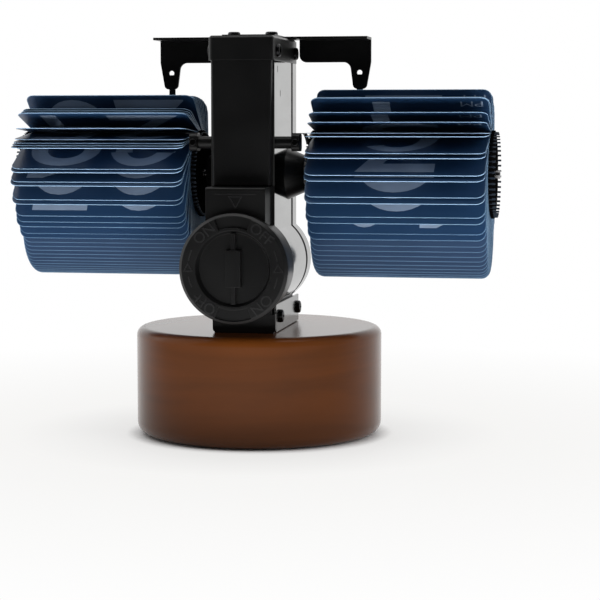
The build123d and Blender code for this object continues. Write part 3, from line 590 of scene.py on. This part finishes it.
def lettering(text, height, weight, depth=0.0):
    """Text as a mesh, centred on the origin and scaled to a height."""
    bpy.ops.object.select_all(action="DESELECT")
    bpy.ops.object.text_add(location=(0, 0, 0))
    label = bpy.context.object
    label.data.body = text
    label.data.align_x = "CENTER"
    label.data.resolution_u = CURVE_STEPS
    label.data.offset = weight
    label.data.extrude = depth
    bpy.ops.object.convert(target="MESH")
    label = bpy.context.object
    corners = [vertex.co for vertex in label.data.vertices]
    low = Vector((min(c.x for c in corners), min(c.y for c in corners), 0))
    high = Vector((max(c.x for c in corners), max(c.y for c in corners), 0))
    size = height / (high.y - low.y)
    lift = Matrix.Diagonal((size, size, 1 if depth else size, 1))
    label.data.transform(lift @ Matrix.Translation(-(low + high) / 2))
    edit_where(label)
    bpy.ops.mesh.remove_doubles(threshold=LETTER_MERGE)
    leave_edit()
    return label


# Halves of numerals and half-day marks that have been made, to be copied
half_of = {}


def fitted_numeral(digit, width):
    """A whole numeral at its height and width; a one is a stem with a flag."""
    s = sizes()
    label = lettering(digit, s.numeral_height, s.numeral_weight)
    if digit == "1":
        return flagged(label)
    label.data.transform(Matrix.Scale(width / label.dimensions.x, 4, (1, 0, 0)))
    return label


def flagged(stem):
    """A plain stem with a slanting flag at its top."""
    high = stem.dimensions.y / 2
    left = -stem.dimensions.x / 2
    reach = stem.dimensions.x * FLAG_REACH
    bpy.ops.object.select_all(action="DESELECT")
    bpy.ops.mesh.primitive_plane_add(size=1)
    flag = bpy.context.object
    flag.data.transform(Matrix.Diagonal((reach, reach, 1, 1)))
    for vertex in flag.data.vertices:
        near = vertex.co.x > 0
        drop = (0.0 if vertex.co.y > 0 else reach) + (0.0 if near else FLAG_SLANT * reach)
        vertex.co = (left if near else left - reach, high - drop, 0)
    return joined([stem, flag], "flagged_one")


def cut(flat, point, side):
    """Keep the part of a flat mark that lies on one side of a line."""
    edit_where(flat)
    bpy.ops.mesh.bisect(plane_co=(*point, 0), plane_no=(*side, 0), clear_inner=True)
    leave_edit()
    return flat


def round_top(width):
    """Upper half of a six: a nought's arch cut short on its right, over the top of the bowl."""
    s = sizes()
    rise = s.numeral_height / 2
    split = (0, s.numeral_gap)
    left = cut(cut(fitted_numeral("0", width), split, UP), (0, 0), LEFT)
    right = cut(cut(fitted_numeral("0", width), (0, ARCH_END * rise), (ARCH_SLANT, 1)), (0, 0), RIGHT)
    bowl = cut(cut(fitted_numeral("6", width), split, UP), (0, BOWL_TOP * rise), DOWN)
    return joined([left, right, cut(bowl, (BOWL_LEFT * width, 0), RIGHT)], "round_top")


def arched_top(digit, width):
    """Upper half of a two or a three, with the nought's arch in place of its own."""
    s = sizes()
    arch_end = (0, ARCH_END * s.numeral_height / 2)
    arch = cut(fitted_numeral("0", width), arch_end, UP)
    foot = cut(cut(fitted_numeral(digit, width), (0, s.numeral_gap), UP), arch_end, DOWN)
    return joined([arch, foot], "arched_top")


def half_numeral(digit, upper, width):
    """Upper or lower half of a numeral, cut along the split line."""
    key = digit, upper, width
    if key not in half_of:
        gap = sizes().numeral_gap
        if digit == "9":
            six = half_numeral("6", not upper, width)
            half_of[key] = copy_of(six, Matrix.Rotation(math.pi, 4, "Z"))
        elif digit == "6" and upper:
            half_of[key] = round_top(width)
        elif digit in "23" and upper:
            half_of[key] = arched_top(digit, width)
        else:
            side = 1 if upper else -1
            half_of[key] = cut(fitted_numeral(digit, width), (0, side * gap), (0, side))
    return half_of[key]


def half_day_mark(text):
    """AM or PM in small, wide letters."""
    s = sizes()
    if text not in half_of:
        half_of[text] = lettering(text, s.mark_height, s.mark_weight)
        half_of[text].data.transform(Matrix.Scale(s.mark_stretch, 4, (1, 0, 0)))
    return half_of[text]


def shown_on(drum, k):
    """What a drum shows when its k-th card stands in front."""
    s = sizes()
    if drum == "minute":
        return "%02d" % ((s.minute_shown + k) % 60), ""
    hour = (s.hour_shown + k // 2) % 24
    return str(hour % 12 or 12), "PM" if hour >= 12 else "AM"


def card_print(drum, k, count, side):
    """Print on both faces of one card: an upper half in front, the next one's lower half behind."""
    s = sizes()
    middle = side * (s.card_inner + s.card_outer) / 2
    off = s.card_thick / 2 + s.print_lift
    faces = {
        True: Matrix.Translation((0, off, 0)) @ Matrix.Rotation(-math.pi / 2, 4, "X"),
        False: Matrix.Translation((0, -off, 0)) @ Matrix.Rotation(math.pi / 2, 4, "X"),
    }
    prints = []
    for upper, step in ((True, k), (False, k + 1)):
        text, mark = shown_on(drum, step % count)
        if len(text) == 1:
            width, spots = s.hour_width, [0.0]
        elif drum == "hour":
            width, spots = s.hour_pair_width, [-s.hour_spread, s.hour_spread]
        else:
            width, spots = s.numeral_width, [-s.numeral_spread, s.numeral_spread]
            spots = [x + s.one_shift * (digit == "1") for x, digit in zip(spots, text)]
        place = card_matrix(drum, k) @ faces[upper]
        for digit, x in zip(text, spots):
            across = Matrix.Translation((middle + x, 0, 0))
            prints.append(copy_of(half_numeral(digit, upper, width), place @ across))
        if mark and not upper:
            corner = (side * s.card_outer + s.mark_inset, -s.card_length + s.mark_rise, 0)
            prints.append(copy_of(half_day_mark(mark), place @ Matrix.Translation(corner)))
    return prints


class FLIPCLOCK_OT_numerals(bpy.types.Operator):
    """Print the hours and minutes on both faces of the cards"""

    bl_idname = "flipclock.numerals"
    bl_label = "Numerals"

    def execute(self, context):
        for drum, (count, side) in DRUMS.items():
            front = joined(card_print(drum, 0, count, side), drum + "_front_numerals")
            rest = [piece for k in range(1, count) for piece in card_print(drum, k, count, side)]
            fan = joined(rest, drum + "_fan_numerals")
            for printed, body in ((front, drum + "_card"), (fan, drum + "_drum")):
                paint(printed, "numeral")
                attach(printed, body)
        discard(*half_of.values())
        half_of.clear()
        return {"FINISHED"}


# Raised marks on the battery door and its block

# Degrees round the door, anticlockwise from its right as seen from behind
DOOR_WORDS = (("ON", 130), ("OFF", 50), ("OFF", 230), ("ON", 310))
DOOR_ARROWS = (0, 180)
DOOR_RIBS = (17, -17, 163, 197)
RIB_SWEEP = math.radians(14)
RIB_STEPS = 8
# A rib starts as a plane this thin, merged to a line and spun, and its doubles are merged
RIB_THIN, LINE_MERGE, RIB_MERGE = 0.01 * MM, 0.02 * MM, 0.005 * MM
# Inset on top of a bar, as a share of its shorter side
BAR_INSET = 0.2


def seen_from_behind(x, z, y, spin=0.0):
    """Place for a flat mark on a face that looks backwards, at a point and turned by a spin."""
    facing = Matrix(((-1, 0, 0, 0), (0, 0, 1, 0), (0, 1, 0, 0), (0, 0, 0, 1)))
    return Matrix.Translation((x, y, z)) @ facing @ Matrix.Rotation(spin, 4, "Z")


def raised_triangle(radius, width, depth):
    """Outline of a triangle, standing a little proud."""
    bpy.ops.object.select_all(action="DESELECT")
    bpy.ops.mesh.primitive_circle_add(vertices=3, radius=radius, fill_type="NGON")
    mark = bpy.context.object
    edit_where(mark, mode="FACE")
    bpy.ops.mesh.inset(thickness=width, depth=0)
    bpy.ops.mesh.delete(type="FACE")
    leave_edit()
    return apply_modifier(mark, "SOLIDIFY", thickness=depth, offset=1.0)


def raised_arc(radius, sweep, width, depth):
    """A thin rib along a circle round the origin, about its +X side."""
    bpy.ops.object.select_all(action="DESELECT")
    bpy.ops.mesh.primitive_plane_add(size=1)
    rib = bpy.context.object
    rib.data.transform(Matrix.Translation((radius, 0, 0)) @ Matrix.Diagonal((width, RIB_THIN, 1, 1)))
    edit_where(rib)
    bpy.ops.mesh.remove_doubles(threshold=LINE_MERGE)
    leave_edit()
    rib.data.transform(Matrix.Rotation(sweep / 2, 4, "Z"))
    edit_where(rib)
    bpy.ops.mesh.spin(steps=RIB_STEPS, angle=sweep, center=(0, 0, 0), axis=(0, 0, 1))
    bpy.ops.mesh.remove_doubles(threshold=RIB_MERGE)
    bpy.ops.mesh.normals_make_consistent(inside=False)
    leave_edit()
    if rib.data.polygons[0].normal.z < 0:
        edit_where(rib)
        bpy.ops.mesh.flip_normals()
        leave_edit()
    return apply_modifier(rib, "SOLIDIFY", thickness=depth, offset=1.0)


def raised_bar(width, height, depth):
    """A straight rib, centred on the origin."""
    bar = placed_block((-width / 2, -height / 2, 0), (width / 2, height / 2, depth))
    edit_where(bar, lambda face: face.normal.z > LOOKS_UP, "FACE")
    bpy.ops.mesh.inset(thickness=min(width, height) * BAR_INSET, depth=0)
    leave_edit()
    return bar


class FLIPCLOCK_OT_door_marks(bpy.types.Operator):
    """Raise ON, OFF and the turning arrows on the battery door, and the arrow on its block"""

    bl_idname = "flipclock.door_marks"
    bl_label = "Door marks"

    ring_radius: length("Ring radius", "From the door's axis to the middle of the marks", 17.6 * MM)
    raised: length("Raised", "How far the marks stand proud", 0.22 * MM)
    letter_height: length("Letter height", "Height of the words on the door", 4.1 * MM)
    arrow_radius: length("Arrow radius", "From the middle of a door arrow to its corners", 2.3 * MM)
    arrow_line: length("Arrow line", "Width of the outline of the door's arrows", 0.35 * MM)
    rib_width: length("Rib width", "Width of the ribs beside the arrows", 0.4 * MM)
    sign_radius: length("Sign radius", "From the middle of the block's arrow to its corners", 3.2 * MM)
    sign_line: length("Sign line", "Width of the outline of the block's arrow", 0.4 * MM)
    sign_drop: length("Sign drop", "From the top of the block to its arrow", 5.0 * MM)
    bar_width: length("Bar width", "Width of the bar over the block's arrow", 16.0 * MM)
    bar_height: length("Bar height", "Height of the bar over the block's arrow", 0.3 * MM)
    bar_rise: length("Bar rise", "From the block's arrow to the bar over it", 2.4 * MM)

    def execute(self, context):
        self.door()
        self.block()
        return {"FINISHED"}

    def door(self):
        low, high = door_box
        x, z, face_y = (low.x + high.x) / 2, (low.z + high.z) / 2, high.y

        def on_ring(degrees, spin):
            angle = math.radians(degrees)
            across, up = self.ring_radius * math.cos(angle), self.ring_radius * math.sin(angle)
            return seen_from_behind(x - across, z + up, face_y, spin)

        marks = []
        for text, degrees in DOOR_WORDS:
            word = lettering(text, self.letter_height, 0.0, self.raised)
            marks.append(moved(word, on_ring(degrees, math.radians(degrees) - math.pi / 2)))
        for degrees in DOOR_ARROWS:
            arrow = raised_triangle(self.arrow_radius, self.arrow_line, self.raised)
            marks.append(moved(arrow, on_ring(degrees, 0.0)))
        for degrees in DOOR_RIBS:
            rib = raised_arc(self.ring_radius, RIB_SWEEP, self.rib_width, self.raised)
            marks.append(moved(rib, seen_from_behind(x, z, face_y, math.radians(degrees))))
        self.keep(marks, "door_marks", "door")

    def block(self):
        face_y, sign_z = lug_box[1].y, lug_box[1].z - self.sign_drop
        arrow = raised_triangle(self.sign_radius, self.sign_line, self.raised)
        bar = raised_bar(self.bar_width, self.bar_height, self.raised)
        signs = [
            moved(arrow, seen_from_behind(0, sign_z, face_y, math.pi)),
            moved(bar, seen_from_behind(0, sign_z + self.bar_rise, face_y)),
        ]
        self.keep(signs, "block_marks", "stand")

    def keep(self, marks, name, body):
        # The marks take the lightened black, a painted highlight
        whole = paint(joined(marks, name), "raised_mark_painted_highlight")
        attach(face_outwards(whole), body)


# Screws

SIDE_SCREW_HEIGHT = {"foot_screws": 1.5 * MM, "cap_screws": 1.3 * MM}
BRIDGE_SCREW_HEIGHT = 1.4 * MM
# Shares of a head's height: its rounding and the floor of its recess
HEAD_ROUNDING, RECESS_FLOOR = 0.55, 0.45
# Shares of a head's radius: the length and half width of the recess's arms
RECESS_ARM, RECESS_WIDTH = 0.58, 0.13
# Each side screw stops at a turn of its own, by how far back it is
FIRST_TURN, TURN_BY_PLACE = 0.5, 40


def screw_head(radius, height):
    """Rounded head with a cross recess, standing on the origin along +Z."""
    bpy.ops.object.select_all(action="DESELECT")
    bpy.ops.mesh.primitive_cylinder_add(vertices=32, radius=radius, depth=height,
                                        location=(0, 0, height / 2))
    head = settle(bpy.context.object)
    edit_where(head, lambda face: face.normal.z > LOOKS_UP, "FACE")
    bpy.ops.mesh.bevel(offset=height * HEAD_ROUNDING, segments=4, affect="EDGES")
    leave_edit()
    arm, width = radius * RECESS_ARM, radius * RECESS_WIDTH
    slots = [placed_block((-x, -y, height * RECESS_FLOOR), (x, y, height * 2))
             for x, y in ((arm, width), (width, arm))]
    for slot in slots:
        apply_modifier(head, "BOOLEAN", operation="DIFFERENCE", solver="EXACT", object=slot)
    discard(*slots)
    only(head)
    bpy.ops.object.shade_smooth_by_angle(angle=SCREW_SMOOTH)
    return paint(head, "black_screw")


class FLIPCLOCK_OT_screws(bpy.types.Operator):
    """Set the screws of the foot, the cap, the bridge and the clamps"""

    bl_idname = "flipclock.screws"
    bl_label = "Screws"

    def execute(self, context):
        for node, height in SIDE_SCREW_HEIGHT.items():
            self.side_screws(node, height)
        low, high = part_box("bridge_screws")
        radius, height = (high.y - low.y) / 2, BRIDGE_SCREW_HEIGHT
        spots = [(x, (low.y + high.y) / 2, high.z - height) for x in (low.x + radius, high.x - radius)]
        places = [Matrix.Translation(spot) for spot in spots]
        self.keep(self.screws(radius, height, places, "bridge_top_screws"), "bridge_screws")
        low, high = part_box("clamp_screws")
        radius, height = (high.z - low.z) / 2, high.y - low.y
        backwards = Matrix.Rotation(-math.pi / 2, 4, "X")
        spots = [(x, low.y, (low.z + high.z) / 2) for x in (low.x + radius, high.x - radius)]
        places = [Matrix.Translation(spot) @ backwards for spot in spots]
        self.keep(self.screws(radius, height, places, "clamp_back_screws"), "clamp_screws")
        return {"FINISHED"}

    def side_screws(self, node, height):
        low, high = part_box(node)
        radius = (high.z - low.z) / 2
        places = []
        for side in (1, -1):
            outwards = Matrix.Rotation(side * math.pi / 2, 4, "Y")
            for y in (low.y + radius, high.y - radius):
                spot = (side * (high.x - height), y, (low.z + high.z) / 2)
                driven = Matrix.Rotation(FIRST_TURN + TURN_BY_PLACE * y, 4, "Z")
                places.append(Matrix.Translation(spot) @ outwards @ driven)
        self.keep(self.screws(radius, height, places, node.replace("_screws", "_side_screws")), node)

    def screws(self, radius, height, places, name):
        """Like screws, one at each place, as one piece."""
        head = screw_head(radius, height)
        heads = [copy_of(head, place) for place in places]
        discard(head)
        return joined(heads, name)

    def keep(self, screws, node):
        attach(screws, "stand")
        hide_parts(node)


# Studio

# Name, place, aim, size and power of each lamp, and whether reflections show it
SOFTBOXES = (
    ("left_softbox", (0.9, 0.2, 0.5), (0, 0, 0.08), (1.0, 1.0), 2.8, True),
    ("top_softbox", (0.0, 0.16, 1.0), (0, 0.03, 0.1), (1.2, 0.2), 2.0, True),
    ("right_softbox", (-0.9, 0.25, 0.4), (0, 0, 0.06), (0.8, 0.8), 6.0, False),
    ("front_softbox", (0.3, -1.1, 0.45), (0, 0, 0.08), (1.2, 0.8), 9.0, False),
    ("low_softbox", (-0.15, 1.3, 0.06), (0, 0, 0.09), (1.2, 0.3), 1.0, False),
    ("floor_bounce", (-0.03, 0.22, 0.003), (-0.03, 0.22, 1.0), (0.8, 0.26), 2.8, False),
)
WHITE, BLACK = (1.0, 1.0, 1.0), (0.0, 0.0, 0.0)
FLOOR_PALE, FLOOR_DIM, FLOOR_CLEAR = (0.90, 0.90, 0.90), (0.89, 0.89, 0.89), (0.91, 0.91, 0.91)
# The floor's tint near the clock, and from where to where it fades to white
FLOOR_TINT = (0.92, 0.915, 0.905)
TINT_START, TINT_END = 0.10, 0.31
# Share of the shadow's width that stays dark, where the base touches the floor
TOUCH_SHARE = 0.12
# Directions along Y between which reflections go from the bright room to the dark one
ROOM_BRIGHT_END, ROOM_DARK_START = -0.45, 0.2
CAMERA_SPOT = Vector((-0.1506, 0.7474, 0.1261))
# Radians: the camera's turn away from straight ahead, and how far it looks down
CAMERA_HEADING, CAMERA_DIP = 0.177, 0.094
SENSOR_WIDTH = 36.0
NEAR_CLIP = 0.05


def softbox(name, place, aim, size, power, reflected):
    """A rectangular lamp that faces a point."""
    bpy.ops.object.light_add(type="AREA", location=place)
    lamp = bpy.context.object
    lamp.name = name
    lamp.data.shape = "RECTANGLE"
    lamp.data.size, lamp.data.size_y = size
    lamp.data.energy = power
    lamp.rotation_euler = (Vector(aim) - Vector(place)).to_track_quat("-Z", "Y").to_euler()
    lamp.visible_glossy = reflected
    lamp.visible_camera = reflected


class FLIPCLOCK_OT_stage(bpy.types.Operator):
    """Set the pale floor, the soft light and the camera"""

    bl_idname = "flipclock.stage"
    bl_label = "Stage"

    focal: amount("Lens", "Focal length in millimetres", 112.16)
    fill_light: amount("Fill light", "Soft light from all round", 0.05)
    bright_room: amount("Bright room", "Light of the room in front of the clock", 1.0)
    dark_room: amount("Dark room", "Light of the room behind the clock", 0.03)
    floor_radius: length("Floor radius", "Size of the round floor", 0.34)
    shadow_start: length("Shadow start", "Where the floor starts to turn white", 0.048)
    shadow_end: length("Shadow end", "Where the floor is plain white", 0.10)
    shadow_lift: amount("Shadow lift", "How white the floor is in the shadow", 0.75)

    def execute(self, context):
        scene = context.scene
        scene.view_settings.view_transform = "Standard"
        self.floor()
        self.sky(scene)
        for lamp in SOFTBOXES:
            softbox(*lamp)
        self.camera(scene)
        return {"FINISHED"}

    def floor(self):
        """Pale floor that keeps the clock's shadow and turns plain white further out."""
        bpy.ops.object.select_all(action="DESELECT")
        bpy.ops.mesh.primitive_circle_add(vertices=96, radius=self.floor_radius, fill_type="NGON")
        floor = settle(bpy.context.object)
        floor.name = "pale_floor"
        material, tree, shader = new_finish("pale_floor", FLOOR_PALE, 0.6)
        clouds = object_noise(tree, 2.0)
        tree.links.new(ramp(tree, clouds, (NOISE_LOW, FLOOR_DIM), (NOISE_HIGH, FLOOR_CLEAR)),
                       shader.inputs["Base Color"])
        place = tree.nodes.new("ShaderNodeTexCoord")
        away = tree.nodes.new("ShaderNodeVectorMath")
        away.operation = "LENGTH"
        tree.links.new(place.outputs["Object"], away.inputs[0])
        touch = self.shadow_start + TOUCH_SHARE * (self.shadow_end - self.shadow_start)
        far = ramp(tree, away.outputs["Value"], (self.shadow_start, BLACK),
                   (touch, (self.shadow_lift,) * 3), (self.shadow_end, WHITE))
        white = tree.nodes.new("ShaderNodeEmission")
        white.inputs["Strength"].default_value = 1.0
        tint = ramp(tree, away.outputs["Value"], (TINT_START, FLOOR_TINT), (TINT_END, WHITE))
        tree.links.new(tint, white.inputs["Color"])
        seen = tree.nodes.new("ShaderNodeMath")
        seen.operation = "MULTIPLY"
        tree.links.new(far, seen.inputs[0])
        tree.links.new(self.seen_by_eye(tree), seen.inputs[1])
        mix = tree.nodes.new("ShaderNodeMixShader")
        tree.links.new(seen.outputs["Value"], mix.inputs["Fac"])
        tree.links.new(shader.outputs["BSDF"], mix.inputs[1])
        tree.links.new(white.outputs["Emission"], mix.inputs[2])
        tree.links.new(mix.outputs["Shader"], tree.nodes["Material Output"].inputs["Surface"])
        floor.data.materials.append(material)

    def seen_by_eye(self, tree):
        """One for rays that the eye follows, also in a mirror or through glass."""
        rays = tree.nodes.new("ShaderNodeLightPath")
        total = rays.outputs["Is Camera Ray"]
        for name in ("Is Glossy Ray", "Is Transmission Ray"):
            either = tree.nodes.new("ShaderNodeMath")
            either.operation = "MAXIMUM"
            tree.links.new(total, either.inputs[0])
            tree.links.new(rays.outputs[name], either.inputs[1])
            total = either.outputs["Value"]
        return total

    def sky(self, scene):
        """White room, with the unlit part of the studio behind the clock in reflections."""
        world = bpy.data.worlds.new("white_room")
        scene.world = world
        world.use_nodes = True
        tree = world.node_tree
        background = tree.nodes["Background"]
        background.inputs["Color"].default_value = (*WHITE, 1.0)
        place = tree.nodes.new("ShaderNodeTexCoord")
        axes = tree.nodes.new("ShaderNodeSeparateXYZ")
        tree.links.new(place.outputs["Generated"], axes.inputs["Vector"])
        room = tree.nodes.new("ShaderNodeMapRange")
        room.interpolation_type = "SMOOTHSTEP"
        room.inputs["From Min"].default_value = ROOM_BRIGHT_END
        room.inputs["From Max"].default_value = ROOM_DARK_START
        room.inputs["To Min"].default_value = self.bright_room
        room.inputs["To Max"].default_value = self.dark_room
        tree.links.new(axes.outputs["Y"], room.inputs["Value"])
        rays = tree.nodes.new("ShaderNodeLightPath")
        level = room.outputs["Result"]
        for name, strength in (("Is Diffuse Ray", self.fill_light), ("Is Camera Ray", 1.0)):
            choice = tree.nodes.new("ShaderNodeMix")
            choice.inputs["B"].default_value = strength
            tree.links.new(rays.outputs[name], choice.inputs["Factor"])
            tree.links.new(level, choice.inputs["A"])
            level = choice.outputs["Result"]
        tree.links.new(level, background.inputs["Strength"])

    def camera(self, scene):
        bpy.ops.object.camera_add()
        camera = bpy.context.object
        camera.data.sensor_width = SENSOR_WIDTH
        camera.data.lens = self.focal
        camera.data.clip_start = NEAR_CLIP
        level = Vector((math.sin(CAMERA_HEADING), -math.cos(CAMERA_HEADING), 0))
        ahead = level * math.cos(CAMERA_DIP) - Vector((0, 0, math.sin(CAMERA_DIP)))
        right = Vector((level.y, -level.x, 0))
        above = right.cross(ahead)
        axes = Matrix((right, above, -ahead)).transposed().to_4x4()
        camera.matrix_world = Matrix.Translation(CAMERA_SPOT) @ axes
        scene.camera = camera


class FLIPCLOCK_PT_panel(bpy.types.Panel):
    """The clock's pieces, sizes and colours"""

    bl_idname = "FLIPCLOCK_PT_panel"
    bl_label = "Flip Clock"
    bl_space_type = "VIEW_3D"
    bl_region_type = "UI"
    bl_category = "Flip Clock"

    def draw(self, context):
        for operator in OPERATORS:
            self.layout.operator(operator.bl_idname)
        for group in (context.scene.flip_sizes, context.scene.flip_colours):
            box = self.layout.box()
            for name in group.bl_rna.properties.keys():
                if name not in ("rna_type", "name"):
                    box.prop(group, name)


OPERATORS = (FLIPCLOCK_OT_finishes, FLIPCLOCK_OT_cards, FLIPCLOCK_OT_numerals, FLIPCLOCK_OT_door_marks,
             FLIPCLOCK_OT_screws, FLIPCLOCK_OT_stage)
CLASSES = (ClockSizes, ClockColours, *OPERATORS, FLIPCLOCK_PT_panel)


def register():
    for cls in CLASSES:
        bpy.utils.register_class(cls)
    bpy.types.Scene.flip_sizes = bpy.props.PointerProperty(type=ClockSizes)
    bpy.types.Scene.flip_colours = bpy.props.PointerProperty(type=ClockColours)


def unregister():
    del bpy.types.Scene.flip_colours
    del bpy.types.Scene.flip_sizes
    for cls in reversed(CLASSES):
        bpy.utils.unregister_class(cls)


def main():
    register()
    bpy.ops.object.select_all(action="DESELECT")
    bpy.ops.flipclock.finishes()
    bpy.ops.flipclock.cards()
    bpy.ops.flipclock.numerals()
    bpy.ops.flipclock.door_marks()
    bpy.ops.flipclock.screws()
    bpy.ops.flipclock.stage()


if __name__ == "__main__":
    main()
